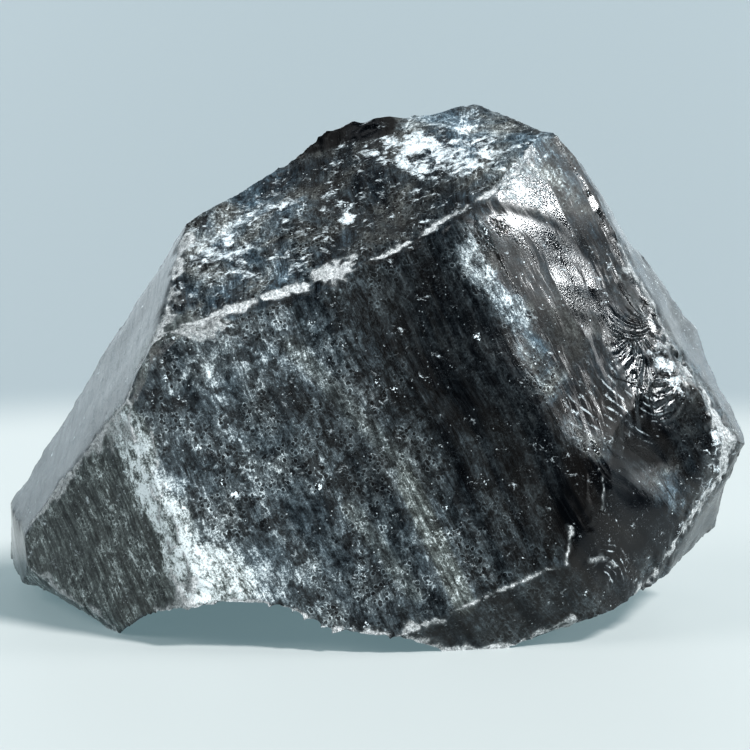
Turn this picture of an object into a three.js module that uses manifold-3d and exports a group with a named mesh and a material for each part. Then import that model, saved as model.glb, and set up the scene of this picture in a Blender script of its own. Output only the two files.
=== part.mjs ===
// A rough chunk of snowflake obsidian, 126 mm long: one piece of volcanic glass, broken on every
// side and worked by nothing but blows.  Millimetres, +Z up.  The chunk stands on small flat
// patches at z = 0, with its broad face toward -Y and the origin under the middle of its box.
//
// Glass breaks in curved sheets.  So the chunk is a block cut by one rippled sheet for each broken
// face, then by bowl-shaped scars where flakes left it, and by small chips along its edges.

import * as THREE from 'three';
import { SimplexNoise } from 'three/addons/math/SimplexNoise.js';
import { mergeVertices } from 'three/addons/utils/BufferGeometryUtils.js';
import Module from 'manifold-3d';

const wasm = await Module();
wasm.setup();

// ---- Driving dimensions -------------------------------------------------------------------

// The block that the sheets cut, and the width, thickness and grid of each sheet.
const BLOCK = 150;
const SHEET = 190;
const SHEET_THICKNESS = 95;
const SHEET_CELLS = 52;
const CELL_JITTER = 0.22;

// The middle of the chunk: each face's reach is its distance from here.
const HEART = new THREE.Vector3(0, 0, 38);

// Unevenness shared by all faces: broad swells and a finer roughness.
const SWELL_SIZE = 24;
const ROUGHNESS = 0.12;
const ROUGHNESS_SIZE = 7;
const BOWL_REACH = 34;

// Each broken face.  heading: where it faces, 0 toward -Y and 90 toward +X.  lean: degrees that
// it looks up, or down when negative.  swell: height of its broad waves.  bowl: how far its
// middle is sunk, or raised when negative.  ripple, step, struck: height and spacing of the rings
// that spread from the point where the blow landed.
const FACES = {
  front: { heading: -2.5, lean: 16, reach: 26.5, swell: 0.45, bowl: -0.5 },
  shoulder: {
    heading: 28.5, lean: 26, reach: 37.4, swell: 0.3, bowl: 0.7,
    ripple: 0.5, step: 11, struck: [26, -6, 82],
  },
  flank: { heading: 40.5, lean: 2.5, reach: 47.5, swell: 0.4, bowl: -0.4 },
  top: {
    heading: -26.5, lean: 52, reach: 29.5, swell: 0.7, bowl: 0.4,
    ripple: 0.25, step: 13, struck: [-36, -6, 62],
  },
  brow: {
    heading: -5.5, lean: 76.5, reach: 40.8, swell: 0.6, bowl: 0,
    ripple: 0.4, step: 9, struck: [38, 4, 74],
  },
  left: { heading: -76, lean: 28.5, reach: 37.6, swell: 0.3, bowl: 0.2 },
  heel: { heading: -43, lean: 0.5, reach: 44.2, swell: 0.3, bowl: 0.3 },
  heelUnder: { heading: -58.5, lean: -40.5, reach: 59.2, swell: 0.3, bowl: 0 },
  toe: { heading: -78, lean: -3, reach: 57.6, swell: 0.3, bowl: 0 },
  ear: {
    heading: 72, lean: 30.5, reach: 48.8, swell: 0.5, bowl: -0.8,
    ripple: 0.5, step: 9.5, struck: [30, 2, 84],
  },
  rimLow: {
    heading: 67, lean: -23, reach: 59.7, swell: 0.5, bowl: 0,
    ripple: 0.35, step: 8, struck: [62, 2, 30],
  },
  scarLow: { heading: 12.5, lean: -16, reach: 46.9, swell: 0.2, bowl: 0.4 },
  keel: { heading: 81, lean: -74, reach: 44, swell: 0.4, bowl: 0 },
  underRight: {
    heading: 121, lean: 3, reach: 51.2, swell: 0.6, bowl: 1,
    ripple: 0.5, step: 12, struck: [58, 8, 44],
  },
  underRightLow: { heading: 88, lean: -67.5, reach: 46.2, swell: 0.5, bowl: 0 },
  back: {
    heading: 175, lean: 7, reach: 31, swell: 0.9, bowl: -1,
    ripple: 0.45, step: 14, struck: [4, 30, 80],
  },
  underBack: { heading: 180, lean: -56.5, reach: 48.5, swell: 0.6, bowl: 0 },
  backLeft: {
    heading: -139, lean: 32, reach: 31, swell: 0.6, bowl: 1.2,
    ripple: 0.5, step: 12, struck: [-62, 14, 16],
  },
  backTopLeft: { heading: -127, lean: 40, reach: 33.8, swell: 0.4, bowl: 0 },
  backTop: { heading: -167.5, lean: 39, reach: 34, swell: 0.7, bowl: 0.6 },
  backRightTop: {
    heading: 116.5, lean: 38.5, reach: 46, swell: 0.6, bowl: 0.8,
    ripple: 0.5, step: 11, struck: [30, 24, 78],
  },
};

// The broad face has no edge toward the shoulder and the flank: it rolls over into them.
const ROLLED_FACES = ['shoulder', 'flank'];
const ROLL_DEPTH = 2;

// The underside is hollow and touches what it stands on only at these pads.
const HOLLOW = 3;
const HOLLOW_SWELL = 1;
const HOLLOW_SWELL_SIZE = 17;
const PAD_PROUD = 0.9;
const PAD_SLOPE = 1.35;
const PADS = [
  { at: [-39, -25], radius: 7 },
  { at: [20, -35], radius: 8 },
  { at: [-31, 24], radius: 9 },
  { at: [22, 18], radius: 13 },
];

// Bowl-shaped scars where flakes left.  at: middle of the scar.  heading, lean: where it opens.
// long: how much longer it is than wide.  blow: where the rings spread from, 0 at the middle and 1
// at the rim.  toward: which way the blow lies, in degrees about the opening.
const SCARS = [
  {
    name: 'arch under the front', at: [-18.5, -24, 0], heading: 0, lean: -88,
    width: 41, depth: 9, long: 1.1, blow: 0.6, toward: 0,
  },
  {
    name: 'scoop in the toe', at: [-60, 5, 9], heading: -76, lean: -2,
    width: 12, depth: 1.3, long: 1.2, blow: 0.8, toward: 0,
  },
  {
    name: 'ring on the low scar', at: [37.4, -33.9, 11.6], heading: 18, lean: -14,
    width: 9, depth: 0.7, long: 1, blow: 0, toward: 0,
  },
  {
    name: 'upper fan', at: [42, -18.2, 50], heading: 46, lean: 26,
    width: 14, depth: 1.1, long: 1.3, blow: 1, toward: 60,
  },
  {
    name: 'middle fan', at: [46, -19.8, 43], heading: 48, lean: 20,
    width: 13, depth: 1.2, long: 1.2, blow: 1, toward: 20,
  },
  {
    name: 'lower fan', at: [48, -21, 37], heading: 46, lean: 14,
    width: 12, depth: 0.9, long: 1.3, blow: 1, toward: 50,
  },
  {
    name: 'shell above the flank', at: [46, -23.5, 30], heading: 43, lean: 9,
    width: 20, depth: 1.1, long: 1.3, blow: 1, toward: -60,
  },
  {
    name: 'corner of the broad face', at: [-30, -23.2, 49], heading: -30, lean: 30,
    width: 9, depth: 0.7, long: 1.5, blow: 1, toward: 90,
  },
  {
    name: 'flake behind the rim', at: [54, 12, 32], heading: 112, lean: 6,
    width: 20, depth: 1.8, long: 1.2, blow: 0.9, toward: 80,
  },
  {
    name: 'great scar behind', at: [10, 36, 50], heading: 168, lean: 14,
    width: 50, depth: 5, long: 1.15, blow: 0.9, toward: 90,
  },
  {
    name: 'scar behind the left', at: [-40, 27, 20], heading: -150, lean: 8,
    width: 30, depth: 3.2, long: 1.2, blow: 0.8, toward: 100,
  },
  {
    name: 'scar behind the right', at: [46, 25, 22], heading: 128, lean: -6,
    width: 26, depth: 2.4, long: 1.2, blow: 0.9, toward: 90,
  },
  {
    name: 'scar under the back', at: [0, 38, 6], heading: 176, lean: -48,
    width: 26, depth: 2.4, long: 1.3, blow: 0.8, toward: 180,
  },
];
const SCAR_RIPPLE = 0.2;
const SCAR_RIPPLE_STEP = 3.4;
const SCAR_SIDES = 32;
const SCAR_RINGS = 11;
const SCAR_SPARE = 1.45;

// Edges that blows have chipped: the two faces, the faces that end the edge, how many chips and
// the width of the largest.
const CHIPPED_EDGES = [
  { between: ['front', 'top'], ends: ['left', 'shoulder'], chips: 11, largest: 8 },
  { between: ['left', 'front'], ends: ['top', 'heel'], chips: 4, largest: 6 },
  { between: ['left', 'top'], ends: ['front', 'backTopLeft'], chips: 3, largest: 4 },
  { between: ['heel', 'front'], ends: ['left', 'base'], chips: 7, largest: 6 },
  { between: ['left', 'heel'], ends: ['front', 'toe'], chips: 5, largest: 3.6 },
  { between: ['heel', 'heelUnder'], ends: ['toe', 'base'], chips: 4, largest: 4 },
  { between: ['front', 'base'], ends: ['heel', 'scarLow'], chips: 5, largest: 6 },
  { between: ['scarLow', 'keel'], ends: ['front', 'flank'], chips: 4, largest: 5 },
  { between: ['shoulder', 'ear'], ends: ['top', 'flank'], chips: 8, largest: 5.5 },
  { between: ['flank', 'ear'], ends: ['shoulder', 'rimLow'], chips: 3, largest: 4 },
  { between: ['flank', 'rimLow'], ends: ['ear', 'underRightLow'], chips: 6, largest: 5 },
  { between: ['ear', 'backRightTop'], ends: ['brow', 'underRight'], chips: 7, largest: 8 },
  { between: ['rimLow', 'underRight'], ends: ['ear', 'underRightLow'], chips: 4, largest: 5 },
  { between: ['top', 'brow'], ends: ['shoulder', 'backTop'], chips: 3, largest: 4 },
  { between: ['brow', 'backTop'], ends: ['top', 'backRightTop'], chips: 4, largest: 5 },
  { between: ['top', 'backTop'], ends: ['backTopLeft', 'brow'], chips: 2, largest: 4 },
  { between: ['left', 'backLeft'], ends: ['backTopLeft', 'toe'], chips: 7, largest: 6 },
  { between: ['back', 'backLeft'], ends: ['backTop', 'base'], chips: 6, largest: 7 },
];
const CHIP_SMALLEST = 0.4;
const CHIP_DEPTH = 0.2;
const CHIP_LONGEST = 2.2;
const CHIP_DETAIL = 2;

// After the cuts, edges shorter than this are joined up where no triangle turns by more than the
// cosine allows.  Points lower than GROUND stay on the ground, and SLIVER is a triangle of no area.
const SHORTEST_EDGE = 0.5;
const LEAST_TURN = 0.8;
const GROUND = 1e-4;
const SLIVER = 1e-6;

const OBSIDIAN = { color: 0x17191d, roughness: 0.3, metalness: 0 };
const SEED = 20;

// ---- Small tools --------------------------------------------------------------------------

function seededRandom(seed) {
  let state = seed >>> 0;
  return () => {
    state = (state + 0x6d2b79f5) >>> 0;
    let mixed = Math.imul(state ^ (state >>> 15), 1 | state);
    mixed = (mixed + Math.imul(mixed ^ (mixed >>> 7), 61 | mixed)) ^ mixed;
    return ((mixed ^ (mixed >>> 14)) >>> 0) / 4294967296;
  };
}

const random = seededRandom(SEED);
const noise = new SimplexNoise({ random });

function directionOf({ heading, lean }) {
  const turn = THREE.MathUtils.degToRad(heading);
  const rise = THREE.MathUtils.degToRad(lean);
  const level = Math.cos(rise);
  return new THREE.Vector3(level * Math.sin(turn), -level * Math.cos(turn), Math.sin(rise));
}

function solidFrom(geometry) {
  geometry.deleteAttribute('normal');
  geometry.deleteAttribute('uv');
  const merged = mergeVertices(geometry);
  return new wasm.Manifold(new wasm.Mesh({
    numProp: 3,
    vertProperties: Float32Array.from(merged.attributes.position.array),
    triVerts: Uint32Array.from(merged.index.array),
  }));
}

// ---- Broken faces -------------------------------------------------------------------------

const base = { heading: 180, lean: -90, reach: HEART.z };
const planes = {};
for (const [name, face] of Object.entries({ ...FACES, base })) {
  planes[name] = new THREE.Plane().setFromNormalAndCoplanarPoint(
    directionOf(face),
    HEART.clone().addScaledVector(directionOf(face), face.reach),
  );
}

function wavesAt(point, size) {
  return noise.noise3d(point.x / size, point.y / size, point.z / size);
}

// How far the broken face stands out from its flat plane at a point of that plane.
function reliefAt(face, point) {
  const middle = HEART.clone().addScaledVector(directionOf(face), face.reach);
  const off = Math.min(point.distanceTo(middle) / BOWL_REACH, 1);
  let height = face.swell * wavesAt(point, SWELL_SIZE) + ROUGHNESS * wavesAt(point, ROUGHNESS_SIZE);
  height -= face.bowl * (1 - off * off);
  if (face.ripple) {
    const travelled = point.distanceTo(new THREE.Vector3(...face.struck));
    height -= face.ripple * Math.abs(Math.sin((Math.PI * travelled) / face.step));
  }
  return height;
}

// How high another face's plane passes over a point of this one, along this one's normal.
function heightOver(name, point, normal) {
  const other = planes[name];
  const facing = other.normal.dot(normal);
  return (-other.distanceToPoint(point) + reliefAt(FACES[name], point)) / facing;
}

function smoothMinimum(first, second, width) {
  const overlap = Math.max(width - Math.abs(first - second), 0) / width;
  return Math.min(first, second) - overlap * overlap * width * 0.25;
}

function frontRelief(point) {
  const normal = planes.front.normal;
  const rolled = Math.min(...ROLLED_FACES.map((name) => heightOver(name, point, normal)));
  return smoothMinimum(reliefAt(FACES.front, point), rolled, ROLL_DEPTH * 2);
}

function undersideRelief(point) {
  let nearness = 0;
  for (const { at, radius } of PADS) {
    const away = Math.hypot(point.x - at[0], point.y - at[1]) / (radius * PAD_SLOPE);
    nearness = Math.max(nearness, Math.exp(-(away ** 4)));
  }
  const depth = HOLLOW + HOLLOW_SWELL * wavesAt(point, HOLLOW_SWELL_SIZE);
  return -depth * (1 - nearness) + PAD_PROUD * nearness;
}

// The sheet of rock that lies outside a broken face: a slab whose inner side has the relief.
function sheetOutside(plane, relief) {
  const slab = new THREE.BoxGeometry(SHEET, SHEET, SHEET_THICKNESS, SHEET_CELLS, SHEET_CELLS, 1);
  slab.translate(0, 0, SHEET_THICKNESS / 2);
  slab.deleteAttribute('normal');
  slab.deleteAttribute('uv');
  const geometry = mergeVertices(slab);
  const foot = plane.projectPoint(HEART, new THREE.Vector3());
  const turn = new THREE.Quaternion().setFromUnitVectors(new THREE.Vector3(0, 0, 1), plane.normal);
  const position = geometry.attributes.position;
  const cell = SHEET / SHEET_CELLS;
  const point = new THREE.Vector3();
  for (let i = 0; i < position.count; i += 1) {
    point.fromBufferAttribute(position, i);
    const inner = point.z < SHEET_THICKNESS / 2;
    const border = Math.max(Math.abs(point.x), Math.abs(point.y)) > SHEET / 2 - cell / 2;
    if (inner && !border) {
      point.x += cell * CELL_JITTER * (2 * random() - 1);
      point.y += cell * CELL_JITTER * (2 * random() - 1);
    }
    point.applyQuaternion(turn).add(foot);
    if (inner) {
      point.addScaledVector(plane.normal, relief(point));
    }
    position.setXYZ(i, point.x, point.y, point.z);
  }
  return solidFrom(geometry);
}

// ---- Scars and chips ----------------------------------------------------------------------

// A rippled ball end on a post, closed on its axis.  Its bowl points into the stone.
function bowlCutter({ at, width, depth, long, blow, toward, ...facing }) {
  const radius = (width * width / 4 + depth * depth) / (2 * depth);
  const rimAngle = Math.asin(Math.min(width / 2 / radius, 1));
  const slide = rimAngle * blow;
  const spread = Math.min(rimAngle * SCAR_SPARE + slide, Math.PI * 0.5);
  const profile = [new THREE.Vector2(0, -radius)];
  for (let ring = 1; ring <= SCAR_RINGS; ring += 1) {
    const angle = (spread * ring) / SCAR_RINGS;
    const swell = SCAR_RIPPLE * Math.abs(Math.sin((Math.PI * angle * radius) / SCAR_RIPPLE_STEP));
    const reach = radius + swell;
    profile.push(new THREE.Vector2(reach * Math.sin(angle), -reach * Math.cos(angle)));
  }
  const rim = profile[SCAR_RINGS];
  const postTop = rim.y + radius + depth;
  profile.push(new THREE.Vector2(rim.x, postTop), new THREE.Vector2(0, postTop));
  const outward = directionOf(facing);
  const geometry = new THREE.LatheGeometry(profile, SCAR_SIDES);
  geometry.rotateX(slide);
  geometry.scale(1, 1, long);
  geometry.rotateY(THREE.MathUtils.degToRad(toward));
  geometry.applyQuaternion(new THREE.Quaternion().setFromUnitVectors(new THREE.Vector3(0, 1, 0), outward));
  const centre = new THREE.Vector3(...at).addScaledVector(outward, radius - depth);
  geometry.translate(centre.x, centre.y, centre.z);
  return solidFrom(geometry);
}

function cornerOf(names) {
  const [a, b, c] = names.map((name) => planes[name]);
  const rows = new THREE.Matrix3().set(...a.normal, ...b.normal, ...c.normal);
  return new THREE.Vector3(-a.constant, -b.constant, -c.constant).applyMatrix3(rows.invert());
}

// Where two broken faces really meet, beside the line where their flat planes do.
function edgePoint([first, second], point) {
  const outward = planes[first].normal.clone().add(planes[second].normal).normalize();
  const relief = [first, second].map((name) => (FACES[name] ? reliefAt(FACES[name], point) : 0));
  const rise = (relief[0] + relief[1]) / 2 / planes[first].normal.dot(outward);
  return { outward, place: point.clone().addScaledVector(outward, rise) };
}

function chipsAlong({ between, ends, chips, largest }) {
  const start = cornerOf([...between, ends[0]]);
  const end = cornerOf([...between, ends[1]]);
  const cutters = [];
  for (let i = 0; i < chips; i += 1) {
    const along = (i + 0.1 + 0.8 * random()) / chips;
    const { outward, place } = edgePoint(between, start.clone().lerp(end, along));
    const width = largest * (CHIP_SMALLEST + (1 - CHIP_SMALLEST) * random());
    const depth = width * CHIP_DEPTH;
    const radius = (width * width / 4 + depth * depth) / (2 * depth);
    const chip = new THREE.IcosahedronGeometry(radius, CHIP_DETAIL);
    chip.rotateY(Math.PI * random());
    const longWay = end.clone().sub(start).normalize();
    const stretch = 1 + (CHIP_LONGEST - 1) * random();
    chip.scale(1, stretch, 1);
    chip.applyQuaternion(new THREE.Quaternion().setFromUnitVectors(new THREE.Vector3(0, 1, 0), longWay));
    place.addScaledVector(outward, radius - depth);
    chip.translate(place.x, place.y, place.z);
    cutters.push(solidFrom(chip));
  }
  return cutters;
}

// ---- Cleaning up ---------------------------------------------------------------------------

// Joins the ends of edges shorter than the given length, where the surface stays closed and no
// triangle turns over.  Points on the ground stay on it.
function joinShortEdges({ vertProperties, triVerts }, shortest) {
  const points = [];
  for (let i = 0; i < vertProperties.length; i += 3) {
    points.push(new THREE.Vector3().fromArray(vertProperties, i));
  }
  const corners = [];
  const fans = points.map(() => new Set());
  for (let i = 0; i < triVerts.length; i += 3) {
    const triangle = corners.push([triVerts[i], triVerts[i + 1], triVerts[i + 2]]) - 1;
    corners[triangle].forEach((vertex) => fans[vertex].add(triangle));
  }
  const normalOf = (triangle, moved, place) => {
    const [a, b, c] = corners[triangle].map((vertex) => (vertex === moved ? place : points[vertex]));
    return b.clone().sub(a).cross(c.clone().sub(a));
  };
  const neighboursOf = (vertex) => {
    const found = new Set([...fans[vertex]].flatMap((triangle) => corners[triangle]));
    found.delete(vertex);
    return found;
  };
  // How far round the worst of a vertex's triangles turns when it moves, as a cosine.
  const worstTurn = (vertex, other, place) => {
    const stays = [...fans[vertex]].filter((triangle) => !corners[triangle].includes(other));
    return Math.min(...stays.map((triangle) => {
      const before = normalOf(triangle, vertex, points[vertex]);
      const after = normalOf(triangle, vertex, place);
      return before.lengthSq() < SLIVER ? 1 : before.normalize().dot(after.normalize());
    }));
  };
  const bestPlace = (keep, drop) => {
    const [low, high] = [points[keep], points[drop]].sort((one, two) => one.z - two.z);
    const places = low.z < GROUND ? [low] : [low, high, low.clone().lerp(high, 0.5)];
    const rated = places.map((place) => {
      const turn = Math.min(worstTurn(keep, drop, place), worstTurn(drop, keep, place));
      return { place, turn };
    });
    return rated.sort((one, two) => two.turn - one.turn)[0];
  };
  const joinEnds = (keep, drop) => {
    const others = neighboursOf(keep);
    const shared = [...neighboursOf(drop)].filter((vertex) => others.has(vertex));
    const { place, turn } = bestPlace(keep, drop);
    if (shared.length !== 2 || turn < LEAST_TURN) {
      return false;
    }
    for (const triangle of [...fans[drop]]) {
      if (corners[triangle].includes(keep)) {
        corners[triangle].forEach((vertex) => fans[vertex].delete(triangle));
        corners[triangle] = null;
      } else {
        corners[triangle] = corners[triangle].map((vertex) => (vertex === drop ? keep : vertex));
        fans[keep].add(triangle);
      }
    }
    fans[drop].clear();
    points[keep].copy(place);
    return true;
  };
  const shortEdgesNow = () => {
    const edges = [];
    for (const [a, b, c] of corners.filter(Boolean)) {
      for (const [from, to] of [[a, b], [b, c], [c, a]]) {
        const length = points[from].distanceTo(points[to]);
        if (from < to && length < shortest) {
          edges.push({ from, to, length });
        }
      }
    }
    return edges.sort((one, two) => one.length - two.length);
  };
  let joined = true;
  while (joined) {
    joined = false;
    for (const { from, to } of shortEdgesNow()) {
      const stillThere = [...fans[from]].some((triangle) => corners[triangle].includes(to));
      const stillShort = points[from].distanceTo(points[to]) < shortest;
      joined = (stillThere && stillShort && joinEnds(from, to)) || joined;
    }
  }
  const geometry = new THREE.BufferGeometry();
  const positions = points.flatMap((point) => point.toArray());
  geometry.setAttribute('position', new THREE.Float32BufferAttribute(positions, 3));
  geometry.setIndex(corners.filter(Boolean).flat());
  return geometry;
}

// ---- The chunk ------------------------------------------------------------------------------

function carveStone() {
  const block = new THREE.BoxGeometry(BLOCK, BLOCK, BLOCK);
  block.translate(HEART.x, HEART.y, HEART.z);
  let stone = solidFrom(block);
  for (const [name, face] of Object.entries(FACES)) {
    if (!ROLLED_FACES.includes(name)) {
      const relief = name === 'front' ? frontRelief : (point) => reliefAt(face, point);
      stone = stone.subtract(sheetOutside(planes[name], relief));
    }
  }
  stone = stone.subtract(sheetOutside(planes.base, undersideRelief));
  for (const scar of SCARS) {
    stone = stone.subtract(bowlCutter(scar));
  }
  for (const edge of CHIPPED_EDGES) {
    for (const chip of chipsAlong(edge)) {
      stone = stone.subtract(chip);
    }
  }
  const ground = new THREE.BoxGeometry(SHEET, SHEET, HEART.z);
  ground.translate(0, 0, -HEART.z / 2);
  return stone.subtract(solidFrom(ground));
}

const geometry = joinShortEdges(carveStone().getMesh(), SHORTEST_EDGE);
geometry.computeBoundingBox();
const middle = geometry.boundingBox.getCenter(new THREE.Vector3());
geometry.translate(-middle.x, -middle.y, 0);
geometry.computeVertexNormals();

const stone = new THREE.Mesh(geometry, new THREE.MeshStandardMaterial(OBSIDIAN));
stone.name = 'stone';

const chunk = new THREE.Group();
chunk.add(stone);

export default chunk;
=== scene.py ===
"""A rough chunk of snowflake obsidian on a pale table.

The chunk is one broken piece of dark volcanic glass.  Its skin is remade finely from the carved
solid, its edges are nicked and crushed, its faces get the ripples and hackles of a fresh break,
and one glass material carries the flow bands, the cloudy speckle and the white bruises.
"""

import math

import bmesh
import bpy
import numpy as np
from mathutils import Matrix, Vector, kdtree, noise


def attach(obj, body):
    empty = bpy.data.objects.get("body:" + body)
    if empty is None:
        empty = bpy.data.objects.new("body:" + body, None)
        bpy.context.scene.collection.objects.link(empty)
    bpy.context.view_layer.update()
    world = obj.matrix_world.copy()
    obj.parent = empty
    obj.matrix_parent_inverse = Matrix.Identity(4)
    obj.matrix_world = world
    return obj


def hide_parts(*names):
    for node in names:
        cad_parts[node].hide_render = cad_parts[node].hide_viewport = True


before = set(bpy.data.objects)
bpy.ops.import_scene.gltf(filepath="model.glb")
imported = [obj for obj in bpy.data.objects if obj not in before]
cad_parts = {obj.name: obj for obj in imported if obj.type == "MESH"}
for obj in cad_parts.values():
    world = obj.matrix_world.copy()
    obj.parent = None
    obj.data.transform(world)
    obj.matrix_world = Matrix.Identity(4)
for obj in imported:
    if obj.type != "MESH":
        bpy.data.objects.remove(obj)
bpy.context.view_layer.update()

MM = 0.001

# ---- How the skin is made, in millimetres and degrees -----------------------

# The even skin, and the sharp edges that it is drawn onto and held by.
VOXEL = 0.45
RIDGE_ANGLE = 24.0
RIDGE_STEP = 0.25
RIDGE_HOLD = 1.3
SNAP_REACH = 0.32
SMOOTH_ROUNDS = 40
SMOOTH_SHARE = 0.5
GROUND = 0.02
MOST_TRIANGLES = 196000
SHADE_ANGLE = 36.0

# How softly one broken face passes into the next, on the skin and on its flat map.
FACE_BLUR_ROUNDS = 5
MAP_BLUR_ROUNDS = 15

# The map's gap between two faces, and the row widths that are tried: the step between them and
# how many times the widest face they may reach.
MAP_GAP = 2.0
MAP_TRY_STEP = 5
MAP_TRY_MOST = 4

# What shifts the noise of one seed against another.
WAVE_SHIFT = np.array((1.0, 1.7, 0.6))
FACET_SHIFT = np.array((1.0, 1.3, 0.7))

# Small flat facets: how far they tilt, what their tilts are drawn with and how deep one may be.
FACET_TILT = 1.1
FACET_DRAW = 7.3
FACET_MOST = 1.4

# Crushed edges: their crumbs, how ragged their border is, how far from its path a stretch may
# whiten an edge, and between which shares of its width it ends.
CRUMB = 0.9
CRUMB_SEED = 7.0
CRUSH_DEPTH = 0.25
RAGGED = [dict(size=2.6, height=1.1, seed=2.0), dict(size=0.9, height=0.8, seed=5.0)]
RAGGED_RANGE = (0.15, 2.4)
CRUSH_ALONG = 3.2
CRUSH_ALONG_WIDTHS = 0.6
CRUSH_BORDER = (0.5, 1.2)

# Nicks and rough stretches, in shares of their own size, and the seeds that they start from.
NICK_RIM = (0.1, 0.8)
NICK_PATCH = 2.5
NICK_SWING = 1.5
NICK_SEED = 1.0
NICK_PATCH_SEED = 3.0
ROUGH_SEED = 11.0
ROUGH_FINE = 0.45
ROUGH_FINE_HEIGHT = 0.4
ROUGH_FINE_SEED = 21.0

# Streaks along the flow: how little they change along it and across it, and their layers.
STREAK_ALONG = 0.12
STREAK_ACROSS = 0.06
STREAKS = [dict(size=1.7, height=1.0, seed=6.0), dict(size=4.5, height=0.6, seed=8.0)]

# How far rings wander, in shares of their step, and arcs and ribs.  How high the ribs are, and
# how well a vertex must lie in a fan to count for the way that the fan faces.
RING_WANDER = 0.25
RING_WANDER_SIZE = 1.6
RING_SEED = 9.0
ARC_WANDER = [dict(size=4.0, height=0.5, seed=12.0)]
RIB_WANDER = [dict(size=2.6, height=0.2, seed=31.0)]
RIB_HEIGHT = 0.2
FAN_MIDDLE = 0.5

# The share of its reach in which a place keeps its full amount, round a spot or along a path.
SPOT_CORE = 0.6
PATH_CORE = 0.3

# The last softening of what was cut.
CARVE_SOFTEN = 0.4
CARVE_SOFTEN_ROUNDS = 2

# The range of what is stored for the glass, and how dull the shoulder's arc is.
POLISH_RANGE = (-2, 1.1)
HAZE_RANGE = (0, 2.4)
SNOW_RANGE = (0, 1.2)
ARC_DULL = 2.5

# ---- The chunk's faces ------------------------------------------------------


def face(heading, lean, polish, haze, grain, hackle, film=0.0):
    """A broken face and what its glass is like.

    heading: where it looks, 0 toward -Y and 90 toward +X.  lean: how far it looks up.
    polish: 1 for clear glass, 0 for a frosted break.  haze: how cloudy the glass under it looks.
    grain: how strongly its skin sparkles, in its fine relief and in painted glints in its
    colour.  hackle: the height of its streaks in millimetres.
    film: how thick the even grey film on it is.
    """
    return dict(heading=heading, lean=lean, polish=polish, haze=haze, grain=grain, hackle=hackle,
                film=film)


FACES = {
    "broad": face(-2.5, 16, 0.35, 0.38, 0.35, 0.05),
    "shoulder": face(28.5, 26, 1.0, 0.16, 1.0, 0.05),
    "flank": face(40.5, 2.5, 0.8, 0.14, 0.5, 0.03),
    "top": face(-26.5, 52, 0.55, 0.25, 0.6, 0.09),
    "brow": face(-5.5, 76.5, 0.35, 0.6, 0.7, 0.09),
    "left": face(-76, 28.5, 0.74, 0.28, 0.35, 0.015, 0.08),
    "heel": face(-43, 0.5, 0.55, 0.55, 0.3, 0.04, 0.35),
    "heel under": face(-58.5, -40.5, 0.7, 0.5, 0.3, 0.03, 0.45),
    "toe": face(-78, -3, 0.8, 0.3, 0.2, 0.02),
    "ear": face(72, 30.5, 0.7, 0.25, 0.5, 0.05),
    "low rim": face(67, -23, 0.85, 0.3, 0.3, 0.03),
    "low scar": face(12.5, -16, 0.9, 0.24, 0.3, 0.03),
    "right behind": face(121, 3, 0.8, 0.2, 0.4, 0.04),
    "back": face(175, 7, 0.6, 0.5, 0.4, 0.06),
    "left behind": face(-139, 32, 0.65, 0.35, 0.4, 0.05),
    "top behind": face(-167.5, 39, 0.5, 0.45, 0.5, 0.07),
    "right top behind": face(116.5, 38.5, 0.7, 0.3, 0.4, 0.05),
    "under": face(0, -90, 0.5, 0.3, 0.4, 0.05),
}

# Nicks along every edge: how wide, how deep and how common each size of nick is.
NICKS = [
    dict(size=4.2, depth=0.4, share=0.15),
    dict(size=2.0, depth=0.22, share=0.35),
    dict(size=1.0, depth=0.12, share=0.6),
]

# Long places are given by the points that they run through.  In the tables below, each row's
# name says where on the chunk it is.
CREST = [(-29.6, -19.5, 49.1), (-25.7, -20.8, 50.7), (-12.7, -20.4, 55.1), (-5, -20.2, 58.3),
         (2.6, -20.6, 60.6), (10.3, -18.4, 64.8), (19.6, -15.8, 70), (24.2, -12.5, 73.3),
         (26.5, -10, 77.3)]
HEEL_EDGE = [(-36.2, -22, 37), (-36.4, -25.6, 30.2), (-34.4, -27.9, 24.1), (-32.4, -30, 17.2),
             (-30.8, -31.6, 11.7), (-31.8, -31.2, 8.1)]
LEFT_EDGE = [(-26.8, -5.5, 62.3), (-29.6, -6.7, 60.4), (-31.7, -17.1, 51.5), (-36.1, -18.3, 44.9),
             (-42.6, -19.2, 32.7), (-46.7, -17, 26.8), (-54.4, -6.6, 18)]
RIGHT_EDGE = [(37, -9, 68.1), (42.5, -10.6, 58.6), (47.7, -12.1, 48.6), (51.2, -13.1, 42.9),
              (55.3, -10.1, 38.2), (57.4, -11, 33.7), (58.8, -8.7, 23.4), (52.8, -16.8, 18.2),
              (49.4, -19.3, 12.5), (43.2, -25.5, 6.9)]
LOWER_EDGE = [(-31.8, -31.2, 8.1), (-25.9, -34.3, 7.8), (-17.7, -36, 5.4), (-11.7, -36.4, 4.7),
              (-5, -37.2, 3), (10.1, -36.5, 1.9), (18.6, -34.3, 0.7), (30, -33, 2.5)]
TOP_EDGE = [(-26.8, -5.5, 62.3), (-17, 2, 71), (-8.5, 8.2, 78.4), (2.3, 6.5, 80.2),
            (10.7, 8, 81.4), (18, 3, 81.5), (26.5, -8, 78.5)]
LEFT_CORNER = [(-31.7, -17.1, 51.5), (-25.7, -20.8, 50.7)]
SCAR_RING = [(35.2, -32.8, 14), (37.2, -31.4, 14.1), (39.4, -29.5, 12.6)]
SCAR_LINE = [(16.3, -36.4, 7.9), (23, -35.6, 12.5), (30.4, -34.6, 16.8)]

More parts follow.
